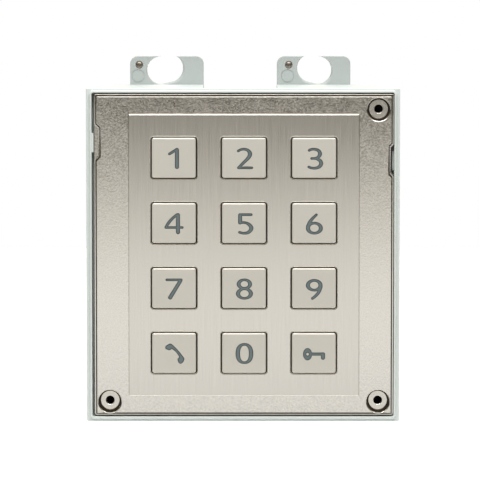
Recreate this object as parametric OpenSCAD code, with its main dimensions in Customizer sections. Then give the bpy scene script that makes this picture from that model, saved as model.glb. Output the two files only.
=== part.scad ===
// Modular door-station keypad: pale plastic housing, nickel-plated front plate and twelve lit keys.
// Every part is drawn lying on its back, with x to the right, y up and z from the rear face to the
// front, and is stood up as it is placed: the front then faces -Y and the rear face lies on y = 0.

/* [Housing] */
// Width of the housing
body_w = 97.6; // [97:0.1:99]
// Height of the housing without its lugs
body_h = 104; // [103.5:0.1:106]
// Depth from the rear face to the front rim
rim_d = 24; // [24:0.5:30]
// Width of the lip around the front opening
lip_w = 95.1; // [94.8:0.1:96]
// Height of the lip
lip_h = 102.4; // [102:0.1:103]
// How far the lip stands forward of the shoulder around it
lip_rise = 2; // [1:0.5:6]
// Thickness of the rear wall
floor_t = 2.2; // [1.8:0.1:3]
// Height of the hooking lugs above the housing
lug_rise = 10.1; // [9.5:0.1:11]
// Width of a hooking lug
lug_w = 23.2; // [20:0.1:24]

/* [Front plate] */
// Width of the front plate
plate_w = 93; // [92.6:0.1:93.2]
// Height of the front plate
plate_h = 100; // [99.6:0.1:100.4]
// Width of the lower ledge around the plate
ledge_w = 0.8; // [0.6:0.1:1]
// Thickness of the plate at its main face
plate_t = 3; // [2.6:0.1:3.2]
// Width of the brushed plateau
plateau_w = 71.7; // [70:0.1:74]
// Height of the brushed plateau
plateau_h = 87.6; // [84:0.1:90]
// How far the plateau stands above the main face
plateau_rise = 0.8; // [0.4:0.1:1.2]

/* [Keys] */
// Distance between the columns of keys
pitch_x = 21.7; // [21.4:0.1:22]
// Distance between the rows of keys
pitch_y = 20.2; // [19.8:0.1:20.6]
// Width of a key cap
cap_w = 13.6; // [13:0.1:13.7]
// Height of a key cap
cap_h = 12.4; // [12:0.1:12.5]
// How far a key cap stands above the plateau
cap_rise = 1.3; // [1.1:0.1:1.8]
// How far a key travels when it is pressed
travel = 1.2; // [0.8:0.1:1.3]

/* [Hidden] */
KEYS = ["1", "2", "3", "4", "5", "6", "7", "8", "9", "call", "0", "unlock"];

$fn = 48;
eps = 0.5;                                   // overrun of a cut past the face it opens
shift = [0.3, 0.2, 0];                       // the plate and all it carries sit off the middle by this

// Depths of the stacked parts, measured forwards from the rear face
face_d = rim_d + 0.6;                        // main face of the plate
ledge_d = face_d - 1.1;                      // lower ledge around it
plateau_d = face_d + plateau_rise;
cap_d = plateau_d + cap_rise;                // faces of the keys
back_d = face_d - plate_t;                   // back of the plate
seat_d = back_d - 2.1;                       // shelf in the housing that carries the seal
flange_t = 1;
flange_d = back_d - 0.1;                     // front of the key flanges at rest
mat_t = 1;
board_t = 1.6;
board_d = back_d - 5.6;                      // front of the circuit board
board_back = board_d - board_t;
mat_d = board_d + mat_t;                     // front of the mat between its domes
dome_rise = 1.8;

// Housing
opening = [93.9, 100.8];
lip_corner = 1.1;
opening_corner = 0.6;
lip_up = 0.2;                                // the lip and the opening lie this far above the middle
shoulder_d = rim_d - lip_rise;
seat_w = 2.2;
seat_t = 2;
seal = [92.4, 100.2];                        // outside of the seal that lies on the seat
seal_w = 0.9;
// The left lug comes first in each of these lists
lug_x = [-24.07, 22.33];
lug_pin_x = [-8.71, -7.86];                   // from the middle of each lug
lug_pin_up = 7.3;                            // above the top of the housing
lug_pin_r = 1.15;
lug_back = 3;
lug_front = 6;
lug_corner = 2.4;
slot_r = 4.3;
slot_half = [1.45, 1.17];                     // half the straight of the slot
slot_tilt = 14;                              // it rises towards the middle of the housing
slot_shift = [0.6, 0.22];                     // its middle lies this far from the lug's, outwards
slot_drop = 4.1;                             // below the top of the lug
mark_r = 1.95;
mark_from_pin = [-0.4, -3.5];
mark_t = 0.15;                               // depth of the round mark under each pin
land_rise = 1.1;
land_d = 16;

// Rear well with the bus sockets
well = [62, 26];
well_y = 21;
well_d = 8.4;
well_wall = 1.6;
socket = [16, 7];
socket_x = 16;
socket_cavity = [13.2, 4.8];
socket_back = 8.9;
socket_base = 1;
pins = 6;
pin_pitch = 2;
pin_w = 0.6;
label = [44, 18];
label_y = -27;
label_t = 0.2;

// Fasteners
post_x = 40.9;
post_y = 30;
post_r = 3.5;
post_foot_r = 4.6;
post_top = back_d - 4.6;
screw_r = 1.5;
screw_head_r = 2.75;
head_d = 3;                                  // back of the plate screws' heads
head_t = 2;
bore_r = 1.9;
sink_r = 3.2;
boss_r = 3.2;
board_screw_x = 34.2;
board_screw_y = [-33, 0, 33];
board_boss_r = 2.3;
board_screw_r = 1.1;
board_head_r = 2;
board_head_t = 1.4;

// Bushes for the screws of the trim frame: none at the top left
bush_at = [[41.75, 45.4], [-41.75, -45.4], [41.75, -45.4]];
bush_r = 3.15;
bush_hole_r = 1.25;
bush_mouth_r = 1.55;
bush_front = face_d - 2.2;
bush_back = back_d - 1.4;                    // back of the wide part
bush_chamfer = 0.25;
bush_tail_r = 2.3;
bush_tail = 3;                               // length of the narrow part behind it
recess_r = 3.55;
recess_up = -0.2;                            // the middle of a recess lies this far above its bush's
recess_depth = 2.4;

// Notches of the plate, each with a clip of the housing beside it:
// [side, middle, half length, depth, start above the back of the plate]
notches = [[-1, 35.1, 4.05, 1.25, 1.2], [1, 29.5, 3.95, 0.9, -eps]];
clip_half = 3;
clip_in = 0.6;                               // reach past the edge of the opening
clip_rise = [4.5, 1.8];                      // above the seat

// Keys
window = [14.3, 13];
window_r = 1;
cap_r = 0.7;
cap_wall = 1.2;
cap_bevel = 0.5;
flange = [16.4, 15.1];
guide_window = [17.4, 16.1];
guide_edge = 0.9;
legend_drop = 0.25;                          // the legends lie this far below the key faces
legend_gap = 0.02;
insert_t = 3;
stem_r = 2;
led_x = 6.9;                                 // from the middle of a key

function key_x(i) = (i % 3 - 1) * pitch_x;
function key_y(i) = (1.5 - floor(i / 3)) * pitch_y;

// --- Outlines ---------------------------------------------------------------------------------

// Rectangle about the origin with round corners
function rounded(w, h, r, steps = 5) =
    [for (corner = [0:3], k = [0:steps])
        let (a = 90 * corner + 90 * k / steps,
             sx = (corner == 0 || corner == 3) ? 1 : -1,
             sy = corner < 2 ? 1 : -1)
        [sx * (w / 2 - r) + r * cos(a), sy * (h / 2 - r) + r * sin(a)]];

// Ellipse-like ring outline: power 2 is an ellipse, more is squarer
function oval(cx, cy, rx, ry, power = 2, n = 40) =
    [for (k = [0:n - 1])
        let (c = cos(360 * k / n), s = sin(360 * k / n))
        [cx + rx * sign(c) * pow(abs(c), 2 / power), cy + ry * sign(s) * pow(abs(s), 2 / power)]];

// A point of the smooth curve through b and c, a and d being their neighbours
function along(a, b, c, d, t) =
    (2 * b + (c - a) * t + (2 * a - 5 * b + 4 * c - d) * t * t + (3 * b - a - 3 * c + d) * t * t * t) / 2;

function smooth(p, n) = let (m = len(p) - 1)
    concat([for (i = [0:m - 1], k = [0:n - 1])
                along(p[max(i - 1, 0)], p[i], p[i + 1], p[min(i + 2, m)], k / n)], [p[m]]);

function heading(q, i) = let (v = q[min(i + 1, len(q) - 1)] - q[max(i - 1, 0)]) atan2(v[1], v[0]);

function around(p, grow, a) = [p[0] + (p[2] + grow) * cos(a), p[1] + (p[2] + grow) * sin(a)];

// Outline of a pen stroke: each of its points is [x, y, half the pen's width]
function stroke(p, grow) =
    let (q = len(p) > 2 ? smooth(p, 5) : p, m = len(q) - 1, cap = [-75:30:75])
    concat([for (i = [0:m]) around(q[i], grow, heading(q, i) + 90)],
           [for (a = cap) around(q[m], grow, heading(q, m) - a)],
           [for (i = [m:-1:0]) around(q[i], grow, heading(q, i) - 90)],
           [for (a = cap) around(q[0], grow, heading(q, 0) + 180 - a)]);

// --- Legends: centre lines of the strokes, and rings as [x, y, rx, ry, half width x, y, power] -

function strokes(key) =
    key == "1" ? [[[-1.34, 1.2, 0.42], [0.95, 2.62, 0.42]], [[0.97, 2.48, 0.62], [0.97, -2.85, 0.62]]] :
    key == "2" ? [[[-1.76, 2.1, 0.4], [-1, 2.52, 0.4], [0.1, 2.67, 0.41], [1.3, 2.25, 0.5], [1.87, 1.2, 0.64],
                   [1.4, 0.05, 0.56], [0.35, -1.05, 0.48], [-1.7, -3.05, 0.4]],
                  [[-1.73, -3.1, 0.4], [2.42, -3.1, 0.4]]] :
    key == "3" ? [[[-1.56, 2.3, 0.4], [-0.9, 2.6, 0.4], [0.1, 2.66, 0.42], [1.3, 2.25, 0.5], [1.8, 1.3, 0.62],
                   [1.35, 0.3, 0.5], [0.4, -0.15, 0.4], [-0.8, -0.2, 0.38]],
                  [[0.2, -0.2, 0.38], [1.05, -0.4, 0.44], [1.9, -0.95, 0.55], [2.15, -1.8, 0.62],
                   [1.6, -2.75, 0.52], [0.3, -3.2, 0.42], [-0.95, -3.1, 0.4], [-1.66, -2.8, 0.4]]] :
    key == "4" ? [[[1.05, 2.66, 0.42], [-0.35, 1.53, 0.44], [-1.5, 0.25, 0.46], [-2.5, -1.3, 0.42]],
                  [[-2.5, -1.37, 0.39], [2.6, -1.37, 0.39]], [[1.27, 2.5, 0.62], [1.27, -2.85, 0.62]]] :
    key == "5" ? [[[-1.3, 2.61, 0.42], [2.25, 2.61, 0.42]], [[-1.19, 2.45, 0.6], [-1.19, 0.15, 0.6]],
                  [[-1.3, 0.02, 0.42], [0, 0.16, 0.4], [1.3, -0.24, 0.48], [2.2, -1.2, 0.62], [2.1, -2.15, 0.6],
                   [1.2, -2.95, 0.48], [-0.2, -3.15, 0.4], [-1.4, -2.85, 0.4]]] :
    key == "6" ? [[[0.73, 2.58, 0.4], [-0.3, 1.6, 0.44], [-1.25, 0.45, 0.52], [-1.85, -1, 0.62]]] :
    key == "7" ? [[[-2.2, 2.58, 0.42], [2.25, 2.58, 0.42]], [[2, 2.3, 0.56], [-1.2, -2.95, 0.6]]] :
    key == "9" ? [[[2.05, 0.5, 0.62], [1.6, -1, 0.52], [0.7, -2.25, 0.46], [-0.48, -3.2, 0.42]]] :
    key == "call" ? [[[-2.1, 1.75, 0.65], [-1.25, 2.1, 0.85]], [[-1.55, 1.55, 0.72], [-1.3, 2, 0.9]],
                     [[-1.1, 2.1, 0.8], [0, 1.45, 0.52], [1.2, 0.25, 0.45], [2, -0.9, 0.52], [2.42, -1.8, 0.76]],
                     [[2.4, -1.9, 0.78], [2, -2.65, 0.72]], [[1.75, -2.05, 0.66], [2.2, -2.3, 0.8]]] :
    key == "unlock" ? [[[-1, -0.32, 0.5], [3, -0.32, 0.5]], [[2.85, -0.4, 0.62], [2.85, -1.5, 0.62]]] : [];

function rings(key) =
    key == "6" ? [[0.11, -1.57, 2, 1.56, 0.62, 0.42, 2]] :
    key == "8" ? [[0.13, 1.26, 1.77, 1.33, 0.61, 0.42, 2], [0.15, -1.7, 1.99, 1.47, 0.64, 0.4, 2]] :
    key == "9" ? [[0.08, 0.9, 1.96, 1.51, 0.62, 0.43, 2]] :
    key == "0" ? [[0.15, -0.16, 2.06, 2.85, 0.67, 0.41, 2.3]] :
    key == "unlock" ? [[-1.95, -0.37, 0.9, 1.17, 0.48, 0.75, 2]] : [];

module legend_shape(key, grow = 0) {
    for (p = strokes(key)) polygon(stroke(p, grow));
    for (g = rings(key))
        difference() {
            polygon(oval(g[0], g[1], g[2] + g[4] + grow, g[3] + g[5] + grow, g[6]));
            polygon(oval(g[0], g[1], g[2] - g[4] - grow, g[3] - g[5] - grow, g[6]));
        }
}

// --- Helpers ----------------------------------------------------------------------------------

module upright() rotate([90, 0, 0]) children();

// The same for what the front plate carries
module carried() upright() translate(shift) children();

// The children's outline as a slab from depth d0 to depth d1
module slab(d0, d1) translate([0, 0, d0]) linear_extrude(d1 - d0) children();

module rod(x, y, r, d0, d1) translate([x, y, d0]) cylinder(r = r, h = d1 - d0);

module at_keys() for (i = [0:len(KEYS) - 1]) translate([key_x(i), key_y(i), 0]) children();

module at_posts() for (x = [-post_x, post_x], y = [-post_y, post_y]) translate([x, y, 0]) children();

module at_board_screws()
    for (x = [-board_screw_x, board_screw_x], y = board_screw_y) translate([x, y, 0]) children();

// Frame between an outer rectangle and one inset from it
module frame_shape(w, h, inset) difference() {
    square([w, h], center = true);
    square([w - 2 * inset, h - 2 * inset], center = true);
}

// --- Housing ----------------------------------------------------------------------------------

module shell() difference() {
    union() {
        slab(0, shoulder_d) square([body_w, body_h], center = true);
        slab(0, rim_d) translate([0, lip_up]) polygon(rounded(lip_w, lip_h, lip_corner));
    }
    slab(floor_t, rim_d + eps) translate([0, lip_up]) polygon(rounded(opening[0], opening[1], opening_corner));
}

// Hooking lug: its slanted round slot breaks out through the top edge
module lug(i) translate([lug_x[i], body_h / 2, 0]) difference() {
    side = sign(lug_x[i]);
    slab(lug_back, lug_front) difference() {
        translate([0, lug_rise / 2 - 1]) polygon(rounded(lug_w, lug_rise + 2, lug_corner));
        translate([side * slot_shift[i], lug_rise - slot_drop]) rotate(-side * slot_tilt) {
            for (x = [-slot_half[i], slot_half[i]]) translate([x, 0]) circle(slot_r);
            square([2 * slot_half[i], 2 * slot_r], center = true);
        }
    }
    rod(lug_pin_x[i], lug_pin_up, lug_pin_r, lug_back - eps, lug_front + eps);
    rod(lug_pin_x[i] + mark_from_pin[0], lug_pin_up + mark_from_pin[1], mark_r, lug_front - mark_t, lug_front + eps);
}

// Wedge in front of a lug: it falls away to the front and towards the nearer side of the housing
module land(x, side) difference() {
    slab(0, land_d)
        polygon([[x - side * lug_w / 2, body_h / 2 - 1], [x - side * lug_w / 2, body_h / 2 + land_rise],
                 [x + side * lug_w / 2, body_h / 2 + land_rise], [side * body_w / 2, body_h / 2],
                 [side * body_w / 2, body_h / 2 - 1]]);
    translate([0, body_h / 2, land_d]) rotate([atan(land_rise / (land_d - lug_front)), 0, 0])
        translate([-body_w, 0, -2 * land_d]) cube([2 * body_w, 10, 3 * land_d]);
}

module clip(i) slab(seat_d, seat_d + clip_rise[i])
    translate([notches[i][0] * (opening[0] / 2 - clip_in / 4), notches[i][1]])
        square([1.5 * clip_in, 2 * clip_half], center = true);

module housing() color("#ccd4cf") difference() {
    union() {
        shell();
        slab(seat_d - seat_t, seat_d) frame_shape(opening[0] + 1, opening[1] + 1, seat_w + 0.5);
        slab(0, well_d + well_wall)
            translate([0, well_y]) square([well[0] + 2 * well_wall, well[1] + 2 * well_wall], center = true);
        at_posts() {
            rod(0, 0, post_foot_r, 0, head_d + head_t + 2);
            rod(0, 0, post_r, 0, post_top);
        }
        for (i = [0:1]) {
            lug(i);
            land(lug_x[i], sign(lug_x[i]));
            clip(i);
        }
    }
    slab(-eps, well_d) translate([0, well_y]) square(well, center = true);
    for (x = [-socket_x, socket_x])
        slab(well_d - eps, well_d + well_wall + eps) translate([x, well_y]) square(socket + [0.6, 0.6], center = true);
    slab(-eps, label_t + 0.1) translate([0, label_y]) square(label + [0.6, 0.6], center = true);
    at_posts() {
        rod(0, 0, sink_r, -eps, head_d + head_t);
        rod(0, 0, bore_r, head_d, post_top + eps);
    }
}

module lug_pins() color("#6b5248") for (i = [0:1])
    rod(lug_x[i] + lug_pin_x[i], body_h / 2 + lug_pin_up, lug_pin_r, lug_back, lug_front + 0.2);

module rear_label() color("#e6e6e0")
    slab(0.1, 0.1 + label_t) translate([0, label_y]) square(label, center = true);

// --- Front plate ------------------------------------------------------------------------------

// Notch in an outline whose side edge lies at half, its ends sloping
module notch(n, half, d0, d1, more = 0) slab(d0, d1)
    polygon([[n[0] * (half + 1), n[1] + n[2] + more + 1 + n[3]], [n[0] * (half - n[3]), n[1] + n[2] + more],
             [n[0] * (half - n[3]), n[1] - n[2] - more], [n[0] * (half + 1), n[1] - n[2] - more - 1 - n[3]]]);

module front_plate() color("#c9c4ba") difference() {
    union() {
        slab(back_d, ledge_d) polygon(rounded(plate_w, plate_h, 0.6));
        slab(back_d, face_d) polygon(rounded(plate_w - 2 * ledge_w, plate_h - 2 * ledge_w, 0.8));
        slab(back_d, plateau_d) square([plateau_w, plateau_h], center = true);
        at_posts() rod(0, 0, boss_r, post_top, back_d + eps);
        at_board_screws() rod(0, 0, board_boss_r, board_d, back_d + eps);
    }
    at_keys() slab(back_d - eps, plateau_d + eps) polygon(rounded(window[0], window[1], window_r));
    for (n = notches) {
        notch(n, plate_w / 2, back_d + n[4], plateau_d);
        notch(n, plate_w / 2 - ledge_w, ledge_d, plateau_d, 0.5);
    }
    for (p = bush_at) {
        rod(p[0], p[1] + recess_up, recess_r, face_d - recess_depth, face_d + eps);
        rod(p[0], p[1], bush_r, back_d - eps, face_d);
    }
    at_posts() rod(0, 0, screw_r, post_top - eps, back_d + 1.2);
    at_board_screws() rod(0, 0, board_screw_r, board_d - eps, back_d - 1.5);
}

module plate_seal() color("#2c2c2c") slab(seat_d, back_d) frame_shape(seal[0], seal[1], seal_w);

module trim_bushes() color("#d8d4c8") for (p = bush_at) difference() {
    union() {
        rod(p[0], p[1], bush_r, bush_back, bush_front);
        rod(p[0], p[1], bush_tail_r, bush_back - bush_tail, bush_back + eps);
    }
    rod(p[0], p[1], bush_hole_r, bush_back - bush_tail - eps, bush_front + eps);
    translate([p[0], p[1], bush_front - bush_chamfer])
        cylinder(r1 = bush_hole_r, r2 = bush_mouth_r, h = bush_chamfer);
}

// --- Keys -------------------------------------------------------------------------------------

// Takes the bevel off one front edge of a key cap
module cap_edge(half) rotate([90, 0, 0]) linear_extrude(20, center = true)
    polygon([[half - cap_bevel, cap_d], [half, cap_d - cap_bevel], [half + 1, cap_d - cap_bevel],
             [half + 1, cap_d + 1], [half - cap_bevel, cap_d + 1]]);

module key_cap(i) color("#c8c4ba") translate([key_x(i), key_y(i), 0]) difference() {
    union() {
        slab(flange_d - flange_t, cap_d) polygon(rounded(cap_w, cap_h, cap_r));
        slab(flange_d - flange_t, flange_d) square(flange, center = true);
    }
    slab(flange_d - flange_t - eps, cap_d - cap_wall)
        square([cap_w - 2 * cap_wall, cap_h - 2 * cap_wall], center = true);
    for (turn = [0, 180]) rotate(turn) cap_edge(cap_w / 2);
    for (turn = [90, 270]) rotate(turn) cap_edge(cap_h / 2);
    slab(cap_d - cap_wall - eps, cap_d + eps) legend_shape(KEYS[i], legend_gap);
}

// Clear moulding inside the cap: its raised face is the legend and its stem presses the mat
module legend(i) color("#6f7c7e") translate([key_x(i), key_y(i), 0]) {
    slab(cap_d - cap_wall - insert_t, cap_d - cap_wall)
        square([cap_w - 2 * cap_wall - 0.2, cap_h - 2 * cap_wall - 0.2], center = true);
    slab(cap_d - cap_wall - eps, cap_d - legend_drop) legend_shape(KEYS[i]);
    rod(0, 0, stem_r, mat_d + dome_rise + 0.1, cap_d - cap_wall - insert_t + eps);
}

module key_guide() color("#3a3d3f") difference() {
    slab(mat_d, back_d) square([2 * pitch_x + guide_window[0] + 2 * guide_edge,
                                3 * pitch_y + guide_window[1] + 2 * guide_edge], center = true);
    at_keys() slab(mat_d - eps, back_d + eps) square(guide_window, center = true);
}

module key_mat() color("#b9bfc0") {
    difference() {
        slab(board_d, mat_d) square([2 * pitch_x + guide_window[0] + 2 * guide_edge,
                                     3 * pitch_y + guide_window[1] + 2 * guide_edge], center = true);
        at_keys() {
            rod(0, 0, 4.6, board_d - eps, mat_d + eps);
            slab(board_d - eps, mat_d + eps) translate([led_x, 0]) square([2, 2.6], center = true);
        }
    }
    at_keys() translate([0, 0, mat_d]) rotate_extrude()
        polygon([[4.4, -mat_t], [5.2, -mat_t], [5.2, 0], [3, 1.3], [2.5, dome_rise], [0, dome_rise],
                 [0, 0], [2.1, 0], [2.1, 0.9], [2.6, 0.9], [4.4, -0.2]]);
}

// --- Electronics ------------------------------------------------------------------------------

module circuit_board() color("#2f6b48") difference() {
    slab(board_back, board_d) square([73.6, 83], center = true);
    at_board_screws() rod(0, 0, board_screw_r + 0.15, board_back - eps, board_d + eps);
}

module contact_pads() color("#c9a24a") at_keys() rod(0, 0, 2.4, board_d, board_d + 0.1);

module leds() color("#f4f1d0") at_keys()
    slab(board_d, board_d + 0.7) translate([led_x, 0]) square([0.9, 1.6], center = true);

module controller_chip() color("#232426") {
    slab(board_back - 1.6, board_back - 0.2) translate([0, -12]) square([10, 10], center = true);
    for (turn = [0:90:270], k = [-3.5:1:3.5])
        translate([0, -12, 0]) rotate(turn) slab(board_back - 0.9, board_back)
            translate([5.5, k]) square([1.1, 0.4], center = true);
}

module board_components() color("#8d8f92") {
    for (x = [-18, -10]) rod(x, -31, 3.1, board_back - 6, board_back);
    for (k = [0:5]) slab(board_back - 0.9, board_back) translate([6 + 3.4 * k, -24]) square([2, 1.2], center = true);
    for (k = [0:3]) slab(board_back - 1.2, board_back) translate([-24, -20 + 4 * k]) square([3, 1.6], center = true);
    slab(board_back - 1.6, board_back) translate([22, -33]) square([6.4, 6], center = true);
    slab(board_back - 2, board_back) translate([12, -10]) square([5, 3.2], center = true);
}

module pin_row() for (k = [0:pins - 1])
    translate([(k - (pins - 1) / 2) * pin_pitch, well_y]) square(pin_w, center = true);

module bus_socket(x) color("#e8e6da") translate([x, 0, 0]) difference() {
    slab(socket_back, board_back) translate([0, well_y]) square(socket, center = true);
    slab(socket_back - eps, board_back - socket_base) translate([0, well_y]) square(socket_cavity, center = true);
    slab(socket_back, board_back + eps) pin_row();
}

module socket_pins() color("#c9a24a")
    for (x = [-socket_x, socket_x]) translate([x, 0, 0]) slab(socket_back + 0.7, board_back) pin_row();

// --- Screws -----------------------------------------------------------------------------------

// Pan-head screw with a hexagon socket, its head towards the rear
module screw(r, head_r, head_h, d0, d1) difference() {
    union() {
        rod(0, 0, head_r, d0, d0 + head_h);
        rod(0, 0, r, d0, d1);
    }
    translate([0, 0, d0 - eps]) cylinder(r = head_r * 0.45, h = head_h * 0.6 + eps, $fn = 6);
}

module board_screws() color("#b8bcc0") at_board_screws()
    screw(board_screw_r, board_head_r, board_head_t, board_back - board_head_t, back_d - 1.6);

module plate_screws() color("#b8bcc0") at_posts()
    screw(screw_r, screw_head_r, head_t, head_d, back_d + 1);

upright() housing();
upright() lug_pins();
carried() front_plate();
upright() plate_seal();
carried() trim_bushes();
carried() key_guide();
carried() key_mat();
carried() circuit_board();
carried() contact_pads();
carried() leds();
carried() controller_chip();
carried() board_components();
carried() bus_socket(-socket_x);  // bus_socket_in
carried() bus_socket(socket_x);  // bus_socket_out
carried() socket_pins();
carried() board_screws();
carried() plate_screws();
upright() rear_label();
for (i = [0:len(KEYS) - 1]) {
    carried() key_cap(i);
    carried() legend(i);
}
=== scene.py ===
import math

import bmesh
import bpy
from mathutils import Matrix, Vector
from mathutils.geometry import delaunay_2d_cdt


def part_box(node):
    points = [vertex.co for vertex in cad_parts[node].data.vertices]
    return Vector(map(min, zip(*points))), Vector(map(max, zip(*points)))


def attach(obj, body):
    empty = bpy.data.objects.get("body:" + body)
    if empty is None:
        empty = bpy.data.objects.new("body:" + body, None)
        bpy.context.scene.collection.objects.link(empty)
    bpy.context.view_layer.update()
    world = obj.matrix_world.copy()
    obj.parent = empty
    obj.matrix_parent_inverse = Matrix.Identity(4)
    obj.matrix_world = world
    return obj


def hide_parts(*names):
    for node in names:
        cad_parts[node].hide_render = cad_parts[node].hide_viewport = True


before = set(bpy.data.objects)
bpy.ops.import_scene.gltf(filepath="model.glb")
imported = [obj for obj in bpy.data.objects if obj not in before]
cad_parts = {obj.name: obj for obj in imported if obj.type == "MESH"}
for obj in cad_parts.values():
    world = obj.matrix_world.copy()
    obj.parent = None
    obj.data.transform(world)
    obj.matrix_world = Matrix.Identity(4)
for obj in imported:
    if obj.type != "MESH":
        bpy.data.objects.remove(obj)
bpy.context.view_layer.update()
print("frame loaded with", len(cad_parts), "nodes")

# Pieces are drawn in millimetres lying on their back: x to the right, y up, z forwards from the rear
# face. standUp turns them into the frame's metres, front towards -Y.
mm = 0.001
past = 1                                     # how far a cutter reaches past the face that it opens
standUp = Matrix(((mm, 0, 0, 0), (0, 0, -mm, 0), (0, mm, 0, 0), (0, 0, 0, 1)))
keyNames = ["1", "2", "3", "4", "5", "6", "7", "8", "9", "call", "0", "unlock"]


def spanOf(node):
    low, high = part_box(node)
    return dict(left=low.x / mm, right=high.x / mm, bottom=low.z / mm, top=high.z / mm,
                back=-high.y / mm, front=-low.y / mm,
                middle=((low.x + high.x) / 2 / mm, (low.z + high.z) / 2 / mm))


# Outlines and rings

def rectLoop(width, height, corner, middle=(0, 0), steps=6):
    points = []
    for quarter in range(4):
        sideX = 1 if quarter in (0, 3) else -1
        sideY = 1 if quarter < 2 else -1
        for k in range(steps + 1):
            a = math.radians(90 * (quarter + k / steps))
            points.append((middle[0] + sideX * (width / 2 - corner) + corner * math.cos(a),
                           middle[1] + sideY * (height / 2 - corner) + corner * math.sin(a)))
    return points


def circleLoop(radius, middle, count=56):
    turns = [2 * math.pi * k / count for k in range(count)]
    return [(middle[0] + radius * math.cos(a), middle[1] + radius * math.sin(a)) for a in turns]


# An outline that can be grown or shrunk, its corners growing with it
def rectOutline(width, height, corner, middle=(0, 0)):
    return lambda grow: rectLoop(width + 2 * grow, height + 2 * grow, max(corner + grow, 0.05), middle)


def circleOutline(radius, middle):
    return lambda grow: circleLoop(radius + grow, middle)


def quarterTurn(steps):
    return [math.radians(90 * k / steps) for k in range(steps + 1)]


# (inset, distance below the face) along a quarter round, from the side wall up to the face
def roundOver(size, steps=4):
    return [(size - size * math.cos(a), size - size * math.sin(a)) for a in quarterTurn(steps)]


# (outset, distance below the face) along a quarter round, from the face down into a hole
def roundInto(size, steps=4):
    return [(size - size * math.sin(a), size - size * math.cos(a)) for a in quarterTurn(steps)]


def addRing(bm, outline, depth):
    return [bm.verts.new((x, y, depth)) for x, y in outline]


def joinRings(bm, near, far, finish=0):
    for i in range(len(near)):
        j = (i + 1) % len(near)
        bm.faces.new((near[i], near[j], far[j], far[i])).material_index = finish


def joinAll(bm, rings, finish=0):
    for near, far in zip(rings, rings[1:]):
        joinRings(bm, near, far, finish)


# Fills the flat region between closed rings
def fillFlat(bm, rings, finish=0):
    edges = []
    for ring in rings:
        for i in range(len(ring)):
            pair = (ring[i - 1], ring[i])
            edges.append(bm.edges.get(pair) or bm.edges.new(pair))
    filled = bmesh.ops.triangle_fill(bm, use_beauty=True, edges=edges)
    for item in filled["geom"]:
        if isinstance(item, bmesh.types.BMFace):
            item.material_index = finish


# A closed solid through an outline's rings, levels being (grow, depth)
def addSolid(bm, outline, levels):
    rings = [addRing(bm, outline(grow), depth) for grow, depth in levels]
    joinAll(bm, rings)
    bm.faces.new(rings[0])
    bm.faces.new(rings[-1])


# A slab with rounded front and back edges
def addSlab(bm, outline, back, front, edge):
    rounding = roundOver(edge)
    levels = [(-inset, back + below) for inset, below in reversed(rounding)]
    levels += [(-inset, front - below) for inset, below in rounding]
    addSolid(bm, outline, levels)


# A cutter for a pocket in the rear face, with a rounded mouth
def addPocket(bm, outline, depth, mouth):
    addSolid(bm, outline, [(mouth, -past)] + roundInto(mouth) + [(0, depth)])


# A ring with a square section, as a solid
def addCollar(bm, middle, inner, outer, back, front):
    corners = ((inner, back), (outer, back), (outer, front), (inner, front))
    rings = [addRing(bm, circleLoop(radius, middle), depth) for radius, depth in corners]
    joinAll(bm, rings + rings[:1])


def meshOf(bm):
    bmesh.ops.recalc_face_normals(bm, faces=bm.faces)
    mesh = bpy.data.meshes.new("draft")
    bm.to_mesh(mesh)
    bm.free()
    return mesh


def combine(mesh, operation, other):
    whole = bpy.data.objects.new("whole", mesh)
    tool = bpy.data.objects.new("tool", other)
    for item in (whole, tool):
        bpy.context.scene.collection.objects.link(item)
    step = whole.modifiers.new("step", "BOOLEAN")
    step.operation = operation
    step.solver = "EXACT"
    step.object = tool
    graph = bpy.context.evaluated_depsgraph_get()
    result = bpy.data.meshes.new_from_object(whole.evaluated_get(graph))
    for item in (whole, tool):
        bpy.data.objects.remove(item)
    return result


# Turns a draft mesh into a piece of the object, in place of one node of the frame
def makePiece(name, mesh, finishNames, body, node, sharpAngle=42):
    mesh.transform(standUp)
    picked = [face.material_index for face in mesh.polygons]
    mesh.materials.clear()
    for finishName in finishNames:
        mesh.materials.append(finishes[finishName])
    mesh.polygons.foreach_set("material_index", picked)
    mesh.shade_smooth()
    mesh.set_sharp_from_angle(angle=math.radians(sharpAngle))
    for face in mesh.polygons:               # faces that look straight forwards or back stay flat
        face.use_smooth = abs(face.normal.y) < 0.9999
    piece = bpy.data.objects.new(name, mesh)
    bpy.context.scene.collection.objects.link(piece)
    even = piece.modifiers.new("evenNormals", "WEIGHTED_NORMAL")
    even.keep_sharp = True
    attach(piece, body)
    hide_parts(node)


# Finishes

def addNode(tree, kind, inputs=None, **settings):
    node = tree.nodes.new(kind)
    for key, value in settings.items():
        setattr(node, key, value)
    for key, value in (inputs or {}).items():
        if isinstance(value, bpy.types.NodeSocket):
            tree.links.new(value, node.inputs[key])
        else:
            node.inputs[key].default_value = value
    return node


# What a finish has unless its own look says otherwise. Grain and patch are sizes in mm, stretch makes
# the grain longer along an axis, spread is how far the colour varies, bump is the grain's height in mm.
plainLook = dict(
    stretch=(1, 1, 1), patch=9, patchShare=0.35, roughSpread=0.04, bump=0.004, wavy=False, metal=0.0,
    ior=1.46, coat=0.0, coatRoughness=0.1)


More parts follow.
